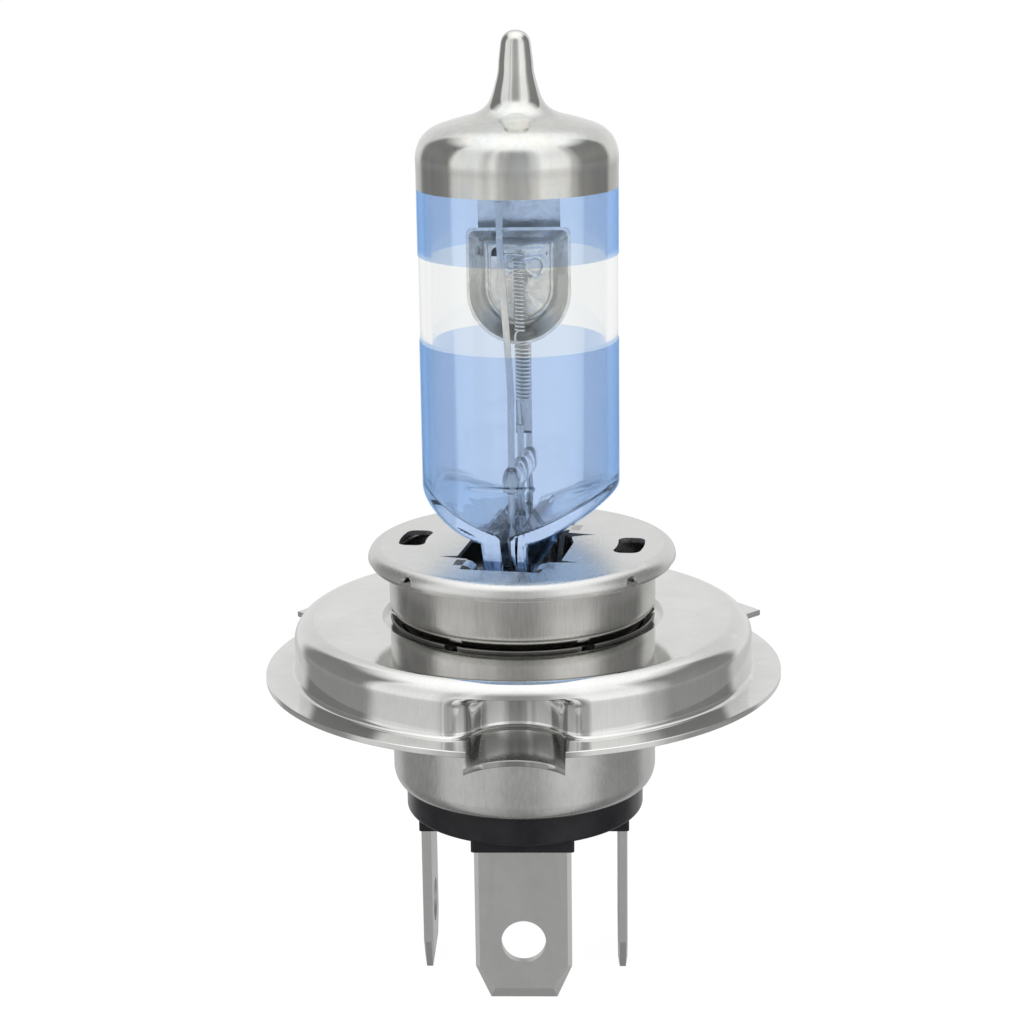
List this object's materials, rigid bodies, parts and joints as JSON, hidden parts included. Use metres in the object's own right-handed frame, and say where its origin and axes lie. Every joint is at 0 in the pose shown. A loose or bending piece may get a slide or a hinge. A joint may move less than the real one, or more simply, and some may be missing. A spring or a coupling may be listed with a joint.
{
  "type": "headlight bulb",
  "caption": "Halogen headlight bulb: coated glass tube with coils and shield, over a lugged metal flange, a drawn base and flat blade terminals.",
  "frame": {"origin": "on the lamp axis in the reference plane, which is the glass-side face of the flange's rim", "axes": "+Z along the lamp axis to the glass tip; -Y to the front lug, the front blade and the open side of the filament shield"},
  "size_m": [0.043, 0.0464, 0.0787],
  "materials": {
    "quartz_glass": "clear polished quartz",
    "silver_coat": "warm grey mirror coat",
    "blue_coat": "clear blue filter coat",
    "tungsten": "drawn wire",
    "molybdenum": "bright rolled",
    "cap_steel": "satin rolled sheet",
    "collar_steel": "drawn, faint vertical streaks",
    "spring_steel": "bright spring steel",
    "flange_steel": "satin rolled sheet with drawn walls",
    "shell_steel": "drawn, bright",
    "black_insulator": "moulded, semi-gloss",
    "blade_metal": "tinned, finely brushed",
    "nickel_wire": "drawn wire"
  },
  "bodies": {
    "root": {"glass_envelope": "quartz_glass", "mirror_cap_coating": "silver_coat", "upper_blue_coating": "blue_coat", "lower_blue_coating": "blue_coat", "low_beam_filament": "tungsten", "high_beam_filament": "tungsten", "low_beam_shield": "molybdenum", "shield_support_strip": "molybdenum", "low_beam_lead": "molybdenum", "high_beam_lead": "molybdenum", "common_lead": "molybdenum", "lead_bridge": "quartz_glass", "pinch_foils": "molybdenum", "cap_plate": "cap_steel", "collar": "collar_steel", "finger_ring": "spring_steel", "mounting_flange": "flange_steel", "base_shell": "shell_steel", "insulator_disc": "black_insulator", "front_terminal": "blade_metal", "left_terminal": "blade_metal", "right_terminal": "blade_metal", "front_outer_lead": "nickel_wire", "left_outer_lead": "nickel_wire", "right_outer_lead": "nickel_wire"}
  },
  "joints": []
}
